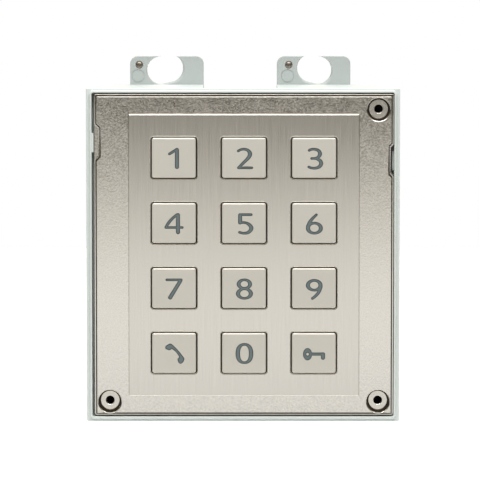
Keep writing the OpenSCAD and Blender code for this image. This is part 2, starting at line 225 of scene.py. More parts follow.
# A finish with a fine grain over larger patches
def grainFinish(name, ownLook):
    look = dict(plainLook, **ownLook)
    finish = bpy.data.materials.new(name)
    finish.use_nodes = True
    tree = finish.node_tree
    shader = tree.nodes["Principled BSDF"]
    place = addNode(tree, "ShaderNodeTexCoord").outputs["Object"]
    scale = [1 / (look["grain"] * mm * s) for s in look["stretch"]]
    fine = addNode(tree, "ShaderNodeMapping", {"Vector": place, "Scale": scale})
    grain = addNode(tree, "ShaderNodeTexNoise",
                    {"Vector": fine.outputs[0], "Scale": 1.0, "Detail": 3.0, "Roughness": 0.6})
    patch = addNode(tree, "ShaderNodeTexNoise",
                    {"Vector": place, "Scale": 1 / (look["patch"] * mm), "Detail": 4.0, "Roughness": 0.55})
    both = addNode(tree, "ShaderNodeMix",
                   {0: look["patchShare"], 2: grain.outputs[0], 3: patch.outputs[0]})
    wide = addNode(tree, "ShaderNodeMapRange",
                   {"Value": both.outputs[0], "From Min": 0.32, "From Max": 0.68})
    dark = [c * (1 - look["spread"]) for c in look["colour"]]
    light = [min(c * (1 + look["spread"]), 1) for c in look["colour"]]
    tint = addNode(tree, "ShaderNodeMix", {0: wide.outputs[0], 6: (*dark, 1), 7: (*light, 1)},
                   data_type="RGBA")
    tree.links.new(tint.outputs[2], shader.inputs["Base Color"])
    gloss = addNode(tree, "ShaderNodeMapRange",
                    {"Value": wide.outputs[0], "To Min": look["roughness"] - look["roughSpread"],
                     "To Max": look["roughness"] + look["roughSpread"]})
    tree.links.new(gloss.outputs[0], shader.inputs["Roughness"])
    relief = both if look["wavy"] else grain
    raised = addNode(tree, "ShaderNodeBump",
                     {"Height": relief.outputs[0], "Distance": look["bump"] * mm, "Strength": 1.0})
    tree.links.new(raised.outputs[0], shader.inputs["Normal"])
    shader.inputs["Metallic"].default_value = look["metal"]
    shader.inputs["IOR"].default_value = look["ior"]
    shader.inputs["Coat Weight"].default_value = look["coat"]
    shader.inputs["Coat Roughness"].default_value = look["coatRoughness"]
    return finish


finishLooks = dict(
    housingPlastic=dict(colour=(0.65, 0.705, 0.695), spread=0.03, grain=0.35, patch=14, roughness=0.33,
                        bump=0.0035, ior=1.5),
    # Painted shade: the lugs are the housing's plastic, coloured darker
    paintedShadeLugPlastic=dict(colour=(0.425, 0.465, 0.46), spread=0.035, grain=0.35, patch=14, roughness=0.36,
                    bump=0.0035, ior=1.5),
    castNickel=dict(colour=(0.80, 0.775, 0.715), spread=0.18, grain=0.55, patch=3.2, patchShare=0.25,
                    roughness=0.15, roughSpread=0.05, bump=0.009, wavy=True, metal=1.0),
    brushedNickel=dict(colour=(0.77, 0.745, 0.685), spread=0.055, grain=0.24, stretch=(1, 1, 60), patch=20,
                       patchShare=0.1, roughness=0.16, roughSpread=0.01, bump=0.0003, metal=1.0),
    # Painted shade: a near-black nickel for the plate's groove, the walls of the bush recesses and key
    # windows, and the key caps' sides
    paintedShadeNickel=dict(colour=(0.12, 0.105, 0.085), spread=0.1, grain=0.3, roughness=0.4, metal=1.0),
    keyNickel=dict(colour=(0.645, 0.625, 0.57), spread=0.02, grain=0.16, patch=6, roughness=0.38,
                   roughSpread=0.03, bump=0.0012, metal=0.35),
    turnedNickel=dict(colour=(0.84, 0.81, 0.745), spread=0.04, grain=0.25, patch=2, roughness=0.19,
                      bump=0.003, metal=1.0),
    pinBronze=dict(colour=(0.235, 0.205, 0.175), spread=0.12, grain=0.3, patch=1.2, roughness=0.3,
                   bump=0.004, metal=0.9),
    legendClear=dict(colour=(0.125, 0.165, 0.172), spread=0.1, grain=0.5, patch=2.5, roughness=0.38,
                     bump=0.002, coat=0.2),
    legendShade=dict(colour=(0.045, 0.06, 0.065), spread=0.1, grain=0.5, patch=2.5, roughness=0.45),
    sealRubber=dict(colour=(0.02, 0.02, 0.02), spread=0.2, grain=0.3, roughness=0.75, bump=0.01),
    guidePlastic=dict(colour=(0.04, 0.043, 0.045), spread=0.12, grain=0.4, roughness=0.55),
    silicone=dict(colour=(0.5, 0.53, 0.54), spread=0.06, grain=0.4, roughness=0.55),
    boardGreen=dict(colour=(0.03, 0.16, 0.075), spread=0.25, grain=0.7, patch=4, roughness=0.35, coat=0.4),
    gold=dict(colour=(0.86, 0.62, 0.25), spread=0.05, grain=0.2, roughness=0.25, metal=1.0),
    ledLens=dict(colour=(0.86, 0.84, 0.62), spread=0.05, grain=0.3, roughness=0.2, coat=0.5),
    chipBlack=dict(colour=(0.02, 0.021, 0.022), spread=0.2, grain=0.25, roughness=0.5),
    componentTin=dict(colour=(0.5, 0.5, 0.5), spread=0.1, grain=0.3, roughness=0.35, metal=0.8),
    socketPlastic=dict(colour=(0.80, 0.78, 0.69), spread=0.03, grain=0.3, roughness=0.45),
    zincScrew=dict(colour=(0.62, 0.64, 0.66), spread=0.08, grain=0.25, patch=1.5, roughness=0.3,
                   bump=0.004, metal=1.0),
    labelPaper=dict(colour=(0.80, 0.80, 0.76), spread=0.025, grain=0.2, patch=5, roughness=0.6, bump=0.003))
finishes = {name: grainFinish(name, look) for name, look in finishLooks.items()}
print("finishes made:", len(finishes))


# Housing

housingSpan = spanOf("housing")
plateSpan = spanOf("front_plate")
housingShape = dict(
    lipWidth=95.1, lipHeight=102.4, lipCorner=1.1, lipUp=0.2, lipRise=2, lipRound=0.5,
    openingWidth=93.9, openingHeight=100.8, openingCorner=0.6, mouthRound=0.12,
    bodyCorner=0.35, bodyRound=0.3, seatDepth=19.5, seatThick=2, seatWidth=2.2, floorThick=2.2)
# Pairs of values are for the left and the right lug
lugShape = dict(
    places=(-24.07, 22.33), width=23.2, rise=10.1, corner=2.4, back=3, front=6, edge=0.22,
    slotRadius=4.3, slotHalf=(1.45, 1.17), slotTilt=14, slotShift=(0.6, 0.22), slotDrop=4.1,
    chamferLeast=0.15, chamferMore=0.75, chamferDeep=0.9, chamferTurn=50,
    pinFromMiddle=(-8.71, -7.86), pinUp=7.3, pinRadius=1.15, pinRing=0.16,
    markFromPin=(-0.4, -3.5), markRadius=1.95, markDepth=0.2, markGroove=0.22)
clipShape = dict(places=((-1, 35.1), (1, 29.5)), half=3, reach=0.6, rises=(4.4, 1.8), edge=0.18)
landShape = dict(rise=1.1, front=16, sink=1, edge=0.12)
rearShape = dict(
    wellWidth=62, wellHeight=26, wellUp=21, wellDepth=8.4, wellWall=1.6, wellCorner=1.2,
    wellOuterCorner=1.5, holeWidth=16.6, holeHeight=7.6, holeCorner=0.4, holeMouth=0.25,
    holesAt=(-16, 16), labelWidth=44.6, labelHeight=18.6, labelCorner=0.5, labelUp=-27, labelDepth=0.3,
    labelMouth=0.12, postsAt=(40.9, 30), postRadius=3.5, footRadius=4.6, footTop=7, postTop=17,
    boreRadius=1.9, sinkRadius=3.2, sinkDepth=5, mouth=0.35)
bodyWidth = housingSpan["right"] - housingSpan["left"]
bodyHeight = -2 * housingSpan["bottom"]
bodyTop = bodyHeight / 2
rimDepth = housingSpan["front"]


def shellMesh(shape):
    shoulder = rimDepth - shape["lipRise"]
    body = rectOutline(bodyWidth, bodyHeight, shape["bodyCorner"])
    lip = rectOutline(shape["lipWidth"], shape["lipHeight"], shape["lipCorner"], (0, shape["lipUp"]))
    opening = rectOutline(shape["openingWidth"], shape["openingHeight"], shape["openingCorner"],
                          (0, shape["lipUp"]))
    soft = roundOver(shape["bodyRound"])
    levels = [(body, -inset, below) for inset, below in reversed(soft)]
    levels += [(body, -inset, shoulder - below) for inset, below in soft]
    levels.append((lip, 0, shoulder))
    levels += [(lip, -inset, rimDepth - below) for inset, below in roundOver(shape["lipRound"], 5)]
    levels += [(opening, outset, rimDepth - below) for outset, below in roundInto(shape["mouthRound"])]
    seat = shape["seatDepth"]
    levels += [(opening, 0, seat), (opening, -shape["seatWidth"], seat),
               (opening, -shape["seatWidth"], seat - shape["seatThick"]),
               (opening, 0, seat - shape["seatThick"]), (opening, 0, shape["floorThick"])]
    bm = bmesh.new()
    rings = [addRing(bm, outline(grow), depth) for outline, grow, depth in levels]
    joinAll(bm, rings)
    bm.faces.new(rings[0])
    bm.faces.new(rings[-1])
    return meshOf(bm)


# The slot's outline; its front chamfer is widest low down and to the right
def slotLoop(shape, index, chamfer=0.0):
    side = math.copysign(1, shape["places"][index])
    middleX = shape["places"][index] + side * shape["slotShift"][index]
    middleY = bodyTop + shape["rise"] - shape["slotDrop"]
    tilt = math.radians(-side * shape["slotTilt"])
    points = []
    for k in range(64):
        a = 2 * math.pi * (k + 0.5) / 64
        low = max(0.0, math.cos(a + math.radians(shape["chamferTurn"])))
        away = shape["slotRadius"] + chamfer * (shape["chamferLeast"] + shape["chamferMore"] * low ** 1.5)
        x = math.copysign(shape["slotHalf"][index], math.cos(a)) + away * math.cos(a)
        y = away * math.sin(a)
        points.append((middleX + x * math.cos(tilt) - y * math.sin(tilt),
                       middleY + x * math.sin(tilt) + y * math.cos(tilt)))
    return points


def pinPlace(index):
    return (lugShape["places"][index] + lugShape["pinFromMiddle"][index], bodyTop + lugShape["pinUp"])


def slotCutter(shape, index):
    bm = bmesh.new()
    rings = [addRing(bm, slotLoop(shape, index), shape["back"] - past)]
    for wide, below in roundOver(1):         # the chamfer is a round that opens forwards
        rings.append(addRing(bm, slotLoop(shape, index, wide), shape["front"] - shape["chamferDeep"] * below))
    rings.append(addRing(bm, slotLoop(shape, index, 1), shape["front"] + past))
    joinAll(bm, rings)
    bm.faces.new(rings[0])
    bm.faces.new(rings[-1])
    return meshOf(bm)


# The hole for a pin opens in a small chamfer
def pinHoleCutter(shape, index):
    ring, front = shape["pinRing"], shape["front"]
    bm = bmesh.new()
    addSolid(bm, circleOutline(shape["pinRadius"], pinPlace(index)),
             [(0, shape["back"] - past), (0, front - ring), (ring, front), (ring + 0.5, front + 0.5)])
    return meshOf(bm)


# The round mark of an ejector pin, below the metal one
def markCutter(shape, index):
    pin = pinPlace(index)
    mark = (pin[0] + shape["markFromPin"][0], pin[1] + shape["markFromPin"][1])
    groove = shape["markGroove"] / 2
    bm = bmesh.new()
    addCollar(bm, mark, shape["markRadius"] - groove, shape["markRadius"] + groove,
              shape["front"] - shape["markDepth"], shape["front"] + past)
    return meshOf(bm)


def lugMesh(shape, index):
    middle = (shape["places"][index], bodyTop + shape["rise"] / 2 - 1)
    bm = bmesh.new()
    addSlab(bm, rectOutline(shape["width"], shape["rise"] + 2, shape["corner"], middle),
            shape["back"], shape["front"], shape["edge"])
    lug = meshOf(bm)
    for cutter in (slotCutter, pinHoleCutter, markCutter):
        lug = combine(lug, "DIFFERENCE", cutter(shape, index))
    return lug


# The low wedge that a lug stands on. It falls away to the front and towards the nearer side.
def landMesh(shape, index):
    side = math.copysign(1, lugShape["places"][index])
    inner = lugShape["places"][index] - side * lugShape["width"] / 2
    outer = lugShape["places"][index] + side * lugShape["width"] / 2
    edge = side * (bodyWidth / 2 - housingShape["bodyRound"])
    start = housingShape["bodyRound"]
    top, low = bodyTop + shape["rise"], bodyTop - shape["sink"]
    corners = [(x, low, z) for x in (inner, edge) for z in (start, shape["front"])]
    corners += [(x, top, z) for x in (inner, outer) for z in (start, lugShape["front"])]
    corners += [(edge, bodyTop, start), (edge, bodyTop, shape["front"]),
                (inner, bodyTop, shape["front"])]
    bm = bmesh.new()
    points = [bm.verts.new(corner) for corner in corners]
    bmesh.ops.convex_hull(bm, input=points)
    bmesh.ops.dissolve_limit(bm, angle_limit=0.01, verts=bm.verts, edges=bm.edges)
    raised = [e for e in bm.edges if all(v.co.y > bodyTop + 0.5 for v in e.verts)]
    bmesh.ops.bevel(bm, geom=raised, offset=shape["edge"], segments=3, profile=0.5, affect="EDGES")
    return meshOf(bm)


# A clip stands on the seat against the opening's wall and reaches into a notch of the front plate
def clipMesh(shape, index):
    side, up = shape["places"][index]
    seat = housingShape["seatDepth"]
    clip = rectOutline(1.5 * shape["reach"], 2 * shape["half"], shape["edge"],
                       (side * (housingShape["openingWidth"] / 2 - shape["reach"] / 4), up))
    front = seat + shape["rises"][index]
    bm = bmesh.new()
    addSolid(bm, clip, [(0, seat - 0.5)] + [(-inset, front - below)
                                            for inset, below in roundOver(shape["edge"])])
    return meshOf(bm)


def postPlaces():
    postX, postY = rearShape["postsAt"]
    return [(x * postX, y * postY) for x in (-1, 1) for y in (-1, 1)]


# The walls round the well for the bus sockets, and the posts for the plate screws
def wellAndPostsMesh(rear):
    wall = 2 * rear["wellWall"]
    outside = rectOutline(rear["wellWidth"] + wall, rear["wellHeight"] + wall, rear["wellOuterCorner"],
                          (0, rear["wellUp"]))
    wider = rear["footRadius"] - rear["postRadius"]
    bm = bmesh.new()
    addSolid(bm, outside, [(0, 1), (0, rear["wellDepth"] + rear["wellWall"])])
    for post in postPlaces():
        addSolid(bm, circleOutline(rear["postRadius"], post),
                 [(wider, 1), (wider, rear["footTop"]), (0, rear["footTop"]), (0, rear["postTop"])])
    return meshOf(bm)


# What is sunk into the rear face: the well, the label's bed and the screws' counterbores
def rearPocketsMesh(rear):
    well = rectOutline(rear["wellWidth"], rear["wellHeight"], rear["wellCorner"], (0, rear["wellUp"]))
    label = rectOutline(rear["labelWidth"], rear["labelHeight"], rear["labelCorner"], (0, rear["labelUp"]))
    bm = bmesh.new()
    addPocket(bm, well, rear["wellDepth"], rear["mouth"])
    addPocket(bm, label, rear["labelDepth"], rear["labelMouth"])
    for post in postPlaces():
        addPocket(bm, circleOutline(rear["sinkRadius"], post), rear["sinkDepth"], rear["mouth"])
    return meshOf(bm)


# The well's two holes for the sockets and the bores of the posts
def rearHolesMesh(rear):
    bm = bmesh.new()
    for x in rear["holesAt"]:
        hole = rectOutline(rear["holeWidth"], rear["holeHeight"], rear["holeCorner"], (x, rear["wellUp"]))
        addSolid(bm, hole, [(rear["holeMouth"], rear["wellDepth"] - 0.2),
                            (0, rear["wellDepth"] + rear["holeMouth"]), (0, rear["wellDepth"] + 3)])
    for post in postPlaces():
        addSolid(bm, circleOutline(rear["boreRadius"], post),
                 [(0, rear["sinkDepth"] - past), (0, rear["postTop"] + past)])
    return meshOf(bm)


def housingMesh():
    whole = combine(shellMesh(housingShape), "UNION", wellAndPostsMesh(rearShape))
    for index in (0, 1):
        whole = combine(whole, "UNION", landMesh(landShape, index))
        whole = combine(whole, "UNION", lugMesh(lugShape, index))
        whole = combine(whole, "UNION", clipMesh(clipShape, index))
    whole = combine(whole, "DIFFERENCE", rearPocketsMesh(rearShape))
    whole = combine(whole, "DIFFERENCE", rearHolesMesh(rearShape))
    for face in whole.polygons:              # painted shade: the lugs have their own, darker copy of the housing's plastic
        isLug = face.center.y > bodyTop + 0.3 and face.center.z < lugShape["front"] + 0.01
        face.material_index = 1 if isLug else 0
    return whole


# The head is domed: (inset, distance below its top)
pinShape = dict(backEdge=0.1, dome=((0, 0.45), (0.12, 0.2), (0.35, 0.06), (0.7, 0)))


def lugPinsMesh(shape):
    back, top = lugShape["back"], spanOf("lug_pins")["front"]
    bm = bmesh.new()
    for index in (0, 1):
        levels = [(-shape["backEdge"], back), (0, back + shape["backEdge"])]
        levels += [(-inset, top - below) for inset, below in shape["dome"]]
        addSolid(bm, circleOutline(lugShape["pinRadius"], pinPlace(index)), levels)
    return meshOf(bm)


makePiece("moulded_housing", housingMesh(), ["housingPlastic", "paintedShadeLugPlastic"], "module",
          "housing")
makePiece("bronze_lug_pins", lugPinsMesh(pinShape), ["pinBronze"], "module", "lug_pins")
print("housing built")


# Front plate

plateShape = dict(
    ledge=0.8, ledgeDrop=1.1, ledgeFall=0.02, edge=0.16, groove=0.4, grooveDepth=0.7, stepEdge=0.12,
    notchMore=(0.3, 0.5), corner=0.6, plateauWidth=71.7, plateauHeight=87.6, plateauCorner=0.45,
    plateauEdge=0.28, faceBelowPlateau=0.8, windowWidth=14.3, windowHeight=13, windowCorner=1.0,
    lipWide=0.35, lipDeep=0.25, bossRadius=3.2, bossTop=17, bossBore=1.5, screwBossRadius=2.3,
    screwBossTop=16, screwBossBore=1.1, screwBossesAt=(34.2, (-33, 0, 33)))
# Side is -1 for the left edge and 1 for the right one, floor is how far the metal stands inside a notch
notches = [dict(side=-1, middle=35.1, half=4.05, depth=1.25, floor=1.2),
           dict(side=1, middle=29.5, half=3.95, depth=0.9, floor=0)]
bushShape = dict(
    places=((41.75, 45.4), (-41.75, -45.4), (41.75, -45.4)), radius=3.15, hole=1.3, chamfer=0.12, edge=0.28,
    tailRadius=2.3, tail=3, recess=3.55, recessUp=-0.2, recessDepth=2.9, recessEdge=0.25)
plateMiddle = plateSpan["middle"]
plateWidth = plateSpan["right"] - plateSpan["left"]
plateHeight = plateSpan["top"] - plateSpan["bottom"]
plateauDepth = plateSpan["front"]
faceDepth = plateauDepth - plateShape["faceBelowPlateau"]
plateBack = spanOf("plate_seal")["front"]
keyMiddle = {key: spanOf("key_cap_" + key)["middle"] for key in keyNames}


# The plate's outline at an inset, with its two notches; more makes them longer
def plateLoop(inset, more):
    loop = rectLoop(plateWidth - 2 * inset, plateHeight - 2 * inset, max(plateShape["corner"] - inset, 0.15),
                    plateMiddle)
    perCorner = len(loop) // 4
    half = plateWidth / 2 - inset

    def notchPoints(notch):
        away = notch["half"] + more
        steps = [(half, away + notch["depth"]), (half - notch["depth"], away),
                 (half - notch["depth"], -away), (half, -away - notch["depth"])]
        return [(plateMiddle[0] + notch["side"] * x, plateMiddle[1] + notch["middle"] + y) for x, y in steps]
    left, right = (notchPoints(notch) for notch in notches)
    return loop[:2 * perCorner] + left + loop[2 * perCorner:] + right[::-1]


def onPlate(places):
    return [(plateMiddle[0] + x, plateMiddle[1] + y) for x, y in places]


# The plate's finishes, in the order of its materials; the third, dark, is painted shade
plateFinishes = ["castNickel", "brushedNickel", "paintedShadeNickel"]
cast, brushed, dark = 0, 1, 2


# The outer side, ledge, groove and step. Returns the rings at the back and at the face.
def addPlateRim(bm, shape):
    ledgeDepth = faceDepth - shape["ledgeDrop"]
    grooveDepth = ledgeDepth - shape["grooveDepth"]
    ledge, groove = shape["ledge"], shape["groove"]
    atGroove, atStep = shape["notchMore"]    # how much longer the notches are there
    levels = [(inset, 0, ledgeDepth - shape["ledgeFall"] - below)
              for inset, below in roundOver(shape["edge"])]
    levels.append((ledge - groove, atGroove, ledgeDepth))
    side = [addRing(bm, plateLoop(0, 0), plateBack)]
    side += [addRing(bm, plateLoop(inset, more), depth) for inset, more, depth in levels]
    grooveWall = addRing(bm, plateLoop(ledge - groove + 0.02, atGroove + 0.02), grooveDepth)
    grooveFloor = addRing(bm, plateLoop(ledge - 0.01, atStep), grooveDepth)
    step = [grooveFloor]
    step += [addRing(bm, plateLoop(ledge + inset, atStep + inset), faceDepth - below)
             for inset, below in roundOver(shape["stepEdge"])]
    joinAll(bm, side, cast)
    # painted shade: the groove's walls and floor take the dark finish
    joinAll(bm, [side[-1], grooveWall, grooveFloor], dark)
    joinAll(bm, step, cast)
    return side[0], step[-1]


# The raised middle. Returns the rings at the face and at its top.
def addPlateau(bm, shape):
    plateau = rectOutline(shape["plateauWidth"], shape["plateauHeight"], shape["plateauCorner"], plateMiddle)
    raised = [addRing(bm, plateau(0.1), faceDepth)]
    raised += [addRing(bm, plateau(-inset), plateauDepth - below)
               for inset, below in roundOver(shape["plateauEdge"])]
    joinAll(bm, raised[:3], cast)
    joinAll(bm, raised[2:], brushed)
    return raised[0], raised[-1]


# The hole for a bush and the recess round it. Returns the rings at the face and at the back.
def addBushHole(bm, bush, place):
    wall = circleOutline(bush["recess"], (place[0], place[1] + bush["recessUp"]))
    floorDepth = faceDepth - bush["recessDepth"]
    hole = [addRing(bm, wall(outset), faceDepth - below) for outset, below in roundInto(bush["recessEdge"])]
    hole += [addRing(bm, wall(0), floorDepth),
             addRing(bm, circleLoop(bush["radius"] + 0.01, place), floorDepth),
             addRing(bm, circleLoop(bush["radius"] + 0.01, place), plateBack)]
    joinAll(bm, hole[:-3], cast)
    # painted shade: the recess's wall and floor and the bush's hole take the dark finish
    joinAll(bm, hole[-4:], dark)
    return hole[0], hole[-1]


# A key's window with its lip. Returns the rings at the plateau and at the back.
def addWindow(bm, shape, middle):
    window = rectOutline(shape["windowWidth"], shape["windowHeight"], shape["windowCorner"], middle)
    lip = [addRing(bm, window(shape["lipWide"] * outset), plateauDepth - shape["lipDeep"] * below)
           for outset, below in roundInto(1, 6)]
    lip.append(addRing(bm, window(0), plateBack))
    joinAll(bm, lip[:-1], brushed)
    # painted shade: the window's wall below its lip takes the dark finish
    joinAll(bm, lip[-2:], dark)
    return lip[0], lip[-1]


# A boss on the back with a blind hole for a screw. Returns its ring at the back.
def addBoss(bm, place, radius, top, bore):
    levels = ((radius, plateBack), (radius, top), (bore, top), (bore, plateBack + 1))
    boss = [addRing(bm, circleLoop(r, place, 32), depth) for r, depth in levels]
    joinAll(bm, boss, cast)
    bm.faces.new(boss[-1])
    return boss[0]


# The metal that stands a little way up inside a notch
def addNotchFloor(bm, notch):
    place = (plateMiddle[0] + notch["side"] * (plateWidth / 2 - notch["depth"] / 2),
             plateMiddle[1] + notch["middle"])
    flange = rectOutline(notch["depth"] - 0.04, 2 * (notch["half"] + notch["depth"]), 0.05, place)
    addSlab(bm, flange, plateBack + 0.01, plateBack + notch["floor"], 0.1)


def frontPlateMesh(shape):
    bm = bmesh.new()
    backRim, faceRim = addPlateRim(bm, shape)
    plateauFoot, plateauTop = addPlateau(bm, shape)
    bushHoles = [addBushHole(bm, bushShape, place) for place in onPlate(bushShape["places"])]
    windows = [addWindow(bm, shape, keyMiddle[key]) for key in keyNames]
    bossRings = [addBoss(bm, place, shape["bossRadius"], shape["bossTop"], shape["bossBore"])
                 for place in onPlate(postPlaces())]
    columns, rows = shape["screwBossesAt"]
    bossRings += [addBoss(bm, place, shape["screwBossRadius"], shape["screwBossTop"], shape["screwBossBore"])
                  for place in onPlate([(side * columns, row) for side in (-1, 1) for row in rows])]
    fillFlat(bm, [faceRim, plateauFoot] + [near for near, far in bushHoles], cast)
    fillFlat(bm, [plateauTop] + [near for near, far in windows], brushed)
    fillFlat(bm, [backRim] + [far for near, far in bushHoles + windows] + bossRings, cast)
    for notch in notches:
        if notch["floor"]:
            addNotchFloor(bm, notch)
    return meshOf(bm)


def bushesMesh(shape):
    span = spanOf("trim_bushes")
    back, front, shoulder = span["back"], span["front"], span["back"] + shape["tail"]
    hole, chamfer = shape["hole"], shape["chamfer"]
    profile = [(hole, back), (hole, front - chamfer)]
    profile += [(hole + 0.5 * chamfer * s, front - chamfer * (1 - s)) for s in (0.35, 0.75)]
    profile.append((hole + chamfer, front))
    profile += [(shape["radius"] - inset, front - below)
                for inset, below in reversed(roundOver(shape["edge"]))]
    profile += [(shape["radius"], shoulder), (shape["tailRadius"], shoulder), (shape["tailRadius"], back)]
    bm = bmesh.new()
    for place in onPlate(shape["places"]):
        rings = [addRing(bm, circleLoop(r, place), depth) for r, depth in profile]
        joinAll(bm, rings + rings[:1])
    return meshOf(bm)


makePiece("nickel_front_plate", frontPlateMesh(plateShape), plateFinishes, "module",
          "front_plate", 32)
makePiece("turned_bushes", bushesMesh(bushShape), ["turnedNickel"], "module", "trim_bushes")
print("front plate built")


# Keys and their legends

# Pen strokes as (x, y, half the pen's width), the middle of the key being (0, 0)
legendStrokes = {
    "1": [[(-1.34, 1.2, 0.42), (0.95, 2.62, 0.42)], [(0.97, 2.48, 0.62), (0.97, -2.85, 0.62)]],
    "2": [[(-1.76, 2.1, 0.4), (-1, 2.52, 0.4), (0.1, 2.67, 0.41), (1.3, 2.25, 0.5), (1.87, 1.2, 0.64),
           (1.4, 0.05, 0.56), (0.35, -1.05, 0.48), (-1.7, -3.05, 0.4)],
          [(-1.73, -3.1, 0.4), (2.42, -3.1, 0.4)]],
    "3": [[(-1.56, 2.3, 0.4), (-0.9, 2.6, 0.4), (0.1, 2.66, 0.42), (1.3, 2.25, 0.5), (1.8, 1.3, 0.62),
           (1.35, 0.3, 0.5), (0.4, -0.15, 0.4), (-0.8, -0.2, 0.38)],
          [(0.2, -0.2, 0.38), (1.05, -0.4, 0.44), (1.9, -0.95, 0.55), (2.15, -1.8, 0.62), (1.6, -2.75, 0.52),
           (0.3, -3.2, 0.42), (-0.95, -3.1, 0.4), (-1.66, -2.8, 0.4)]],
    "4": [[(1.05, 2.66, 0.42), (-0.35, 1.53, 0.44), (-1.5, 0.25, 0.46), (-2.5, -1.3, 0.42)],
          [(-2.5, -1.37, 0.39), (2.6, -1.37, 0.39)], [(1.27, 2.5, 0.62), (1.27, -2.85, 0.62)]],
    "5": [[(-1.3, 2.61, 0.42), (2.25, 2.61, 0.42)], [(-1.19, 2.45, 0.6), (-1.19, 0.15, 0.6)],
          [(-1.3, 0.02, 0.42), (0, 0.16, 0.4), (1.3, -0.24, 0.48), (2.2, -1.2, 0.62), (2.1, -2.15, 0.6),
           (1.2, -2.95, 0.48), (-0.2, -3.15, 0.4), (-1.4, -2.85, 0.4)]],
    "6": [[(0.73, 2.58, 0.4), (-0.3, 1.6, 0.44), (-1.25, 0.45, 0.52), (-1.85, -1, 0.62)]],
    "7": [[(-2.2, 2.58, 0.42), (2.25, 2.58, 0.42)], [(2, 2.3, 0.56), (-1.2, -2.95, 0.6)]],
    "9": [[(2.05, 0.5, 0.62), (1.6, -1, 0.52), (0.7, -2.25, 0.46), (-0.48, -3.2, 0.42)]],
    "call": [[(-2.1, 1.75, 0.65), (-1.25, 2.1, 0.85)], [(-1.55, 1.55, 0.72), (-1.3, 2, 0.9)],
             [(-1.1, 2.1, 0.8), (0, 1.45, 0.52), (1.2, 0.25, 0.45), (2, -0.9, 0.52), (2.42, -1.8, 0.76)],
             [(2.4, -1.9, 0.78), (2, -2.65, 0.72)], [(1.75, -2.05, 0.66), (2.2, -2.3, 0.8)]],
    "unlock": [[(-1, -0.32, 0.5), (3, -0.32, 0.5)], [(2.85, -0.4, 0.62), (2.85, -1.5, 0.62)]]}
# Rings as (x, y, radius x, radius y, half width x, half width y, power), 2 being an ellipse
legendRings = {
    "6": [(0.11, -1.57, 2, 1.56, 0.62, 0.42, 2)],
    "8": [(0.13, 1.26, 1.77, 1.33, 0.61, 0.42, 2), (0.15, -1.7, 1.99, 1.47, 0.64, 0.4, 2)],
    "9": [(0.08, 0.9, 1.96, 1.51, 0.62, 0.43, 2)],
    "0": [(0.15, -0.16, 2.06, 2.85, 0.67, 0.41, 2.3)],
    "unlock": [(-1.95, -0.37, 0.9, 1.17, 0.48, 0.75, 2)]}
keyShape = dict(
    width=13.6, height=12.4, corner=0.7, edge=0.42, wall=1.2, hollowCorner=0.3, flangeWidth=16.4,
    flangeHeight=15.1, flangeThick=1.0, flangeCorner=0.4, legendDrop=0.25, legendGap=0.02, legendEdge=0.06,
    legendRim=0.22, insertThick=3, insertGap=0.1, stemRadius=2, stemEdge=0.2)


# A point of the smooth curve from b to c, a and d being their neighbours
def curvePoint(a, b, c, d, t):
    return tuple((2 * q + (r - p) * t + (2 * p - 5 * q + 4 * r - s) * t * t
                  + (3 * q - p - 3 * r + s) * t ** 3) / 2 for p, q, r, s in zip(a, b, c, d))


def strokeLoop(points, steps=5):
    last = len(points) - 1
    line = points
    if last > 1:                             # two points stay a straight stroke
        line = [curvePoint(points[max(i - 1, 0)], points[i], points[i + 1], points[min(i + 2, last)],
                           k / steps) for i in range(last) for k in range(steps)] + [points[last]]
    end = len(line) - 1

    def heading(i):
        ahead, behind = line[min(i + 1, end)], line[max(i - 1, 0)]
        return math.atan2(ahead[1] - behind[1], ahead[0] - behind[0])

    def around(i, turn):
        x, y, half = line[i]
        return (x + half * math.cos(turn), y + half * math.sin(turn))
    quarter = math.pi / 2
    cap = [math.radians(a) for a in range(-75, 76, 30)]
    loop = [around(i, heading(i) - quarter) for i in range(end + 1)]
    loop += [around(end, heading(end) + a) for a in cap]
    loop += [around(i, heading(i) + quarter) for i in range(end, -1, -1)]
    loop += [around(0, heading(0) + math.pi + a) for a in cap]
    return loop


def ovalLoop(middleX, middleY, radiusX, radiusY, power, count=40):
    loop = []
    for k in range(count):
        c, s = math.cos(2 * math.pi * k / count), math.sin(2 * math.pi * k / count)
        loop.append((middleX + radiusX * math.copysign(abs(c) ** (2 / power), c),
                     middleY + radiusY * math.copysign(abs(s) ** (2 / power), s)))
    return loop


def isInside(x, y, loop):
    turns = 0
    for (x0, y0), (x1, y1) in zip(loop, loop[1:] + loop[:1]):
        leftward = (x1 - x0) * (y - y0) - (x - x0) * (y1 - y0)
        if y0 <= y < y1 and leftward > 0:
            turns += 1
        if y1 <= y < y0 and leftward < 0:
            turns -= 1
    return turns != 0


